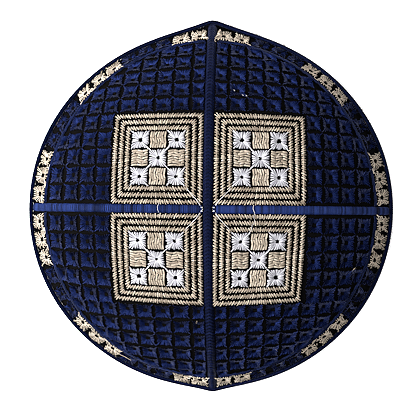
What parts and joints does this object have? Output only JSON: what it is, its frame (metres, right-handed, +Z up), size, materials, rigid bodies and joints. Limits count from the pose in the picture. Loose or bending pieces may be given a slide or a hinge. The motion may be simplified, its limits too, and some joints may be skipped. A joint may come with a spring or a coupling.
{
  "type": "kufi",
  "caption": "Round brimless cap with a low four-gore dome, an upright side band and a bound brim, embroidered all over with square medallions, satin bars and rows of small stars.",
  "frame": {"origin": "middle of the brim's bounding square, on the surface that the cap rests on", "axes": "+Z up through the crown, -Y towards the front, +X towards the wearer's left when the cap is worn with -Y forward; the long seam and the two creases run along Y"},
  "size_m": [0.1908, 0.1952, 0.0831],
  "materials": {
    "ground_cloth": "matt woven cotton, black",
    "navy_thread": "glossy rayon embroidery thread, navy blue",
    "beige_thread": "glossy rayon embroidery thread, beige",
    "white_thread": "glossy rayon embroidery thread, white"
  },
  "bodies": {
    "root": {"gore_back_right": "ground_cloth", "gore_back_left": "ground_cloth", "gore_front_left": "ground_cloth", "gore_front_right": "ground_cloth", "side_band": "ground_cloth", "brim_binding": "navy_thread", "shoulder_cord": "navy_thread", "seam_front_to_back": "navy_thread", "seam_left": "navy_thread", "seam_right": "navy_thread", "band_seam_back": "navy_thread", "band_seam_front": "navy_thread", "ring_line_back_right": "navy_thread", "ring_line_back_left": "navy_thread", "ring_line_front_left": "navy_thread", "ring_line_front_right": "navy_thread", "frame_outer_back_right": "beige_thread", "frame_outer_back_left": "beige_thread", "frame_outer_front_left": "beige_thread", "frame_outer_front_right": "beige_thread", "frame_middle_back_right": "beige_thread", "frame_middle_back_left": "beige_thread", "frame_middle_front_left": "beige_thread", "frame_middle_front_right": "beige_thread", "frame_inner_back_right": "beige_thread", "frame_inner_back_left": "beige_thread", "frame_inner_front_left": "beige_thread", "frame_inner_front_right": "beige_thread", "checker_back_right": "beige_thread", "checker_back_left": "beige_thread", "checker_front_left": "beige_thread", "checker_front_right": "beige_thread"}
  },
  "joints": []
}
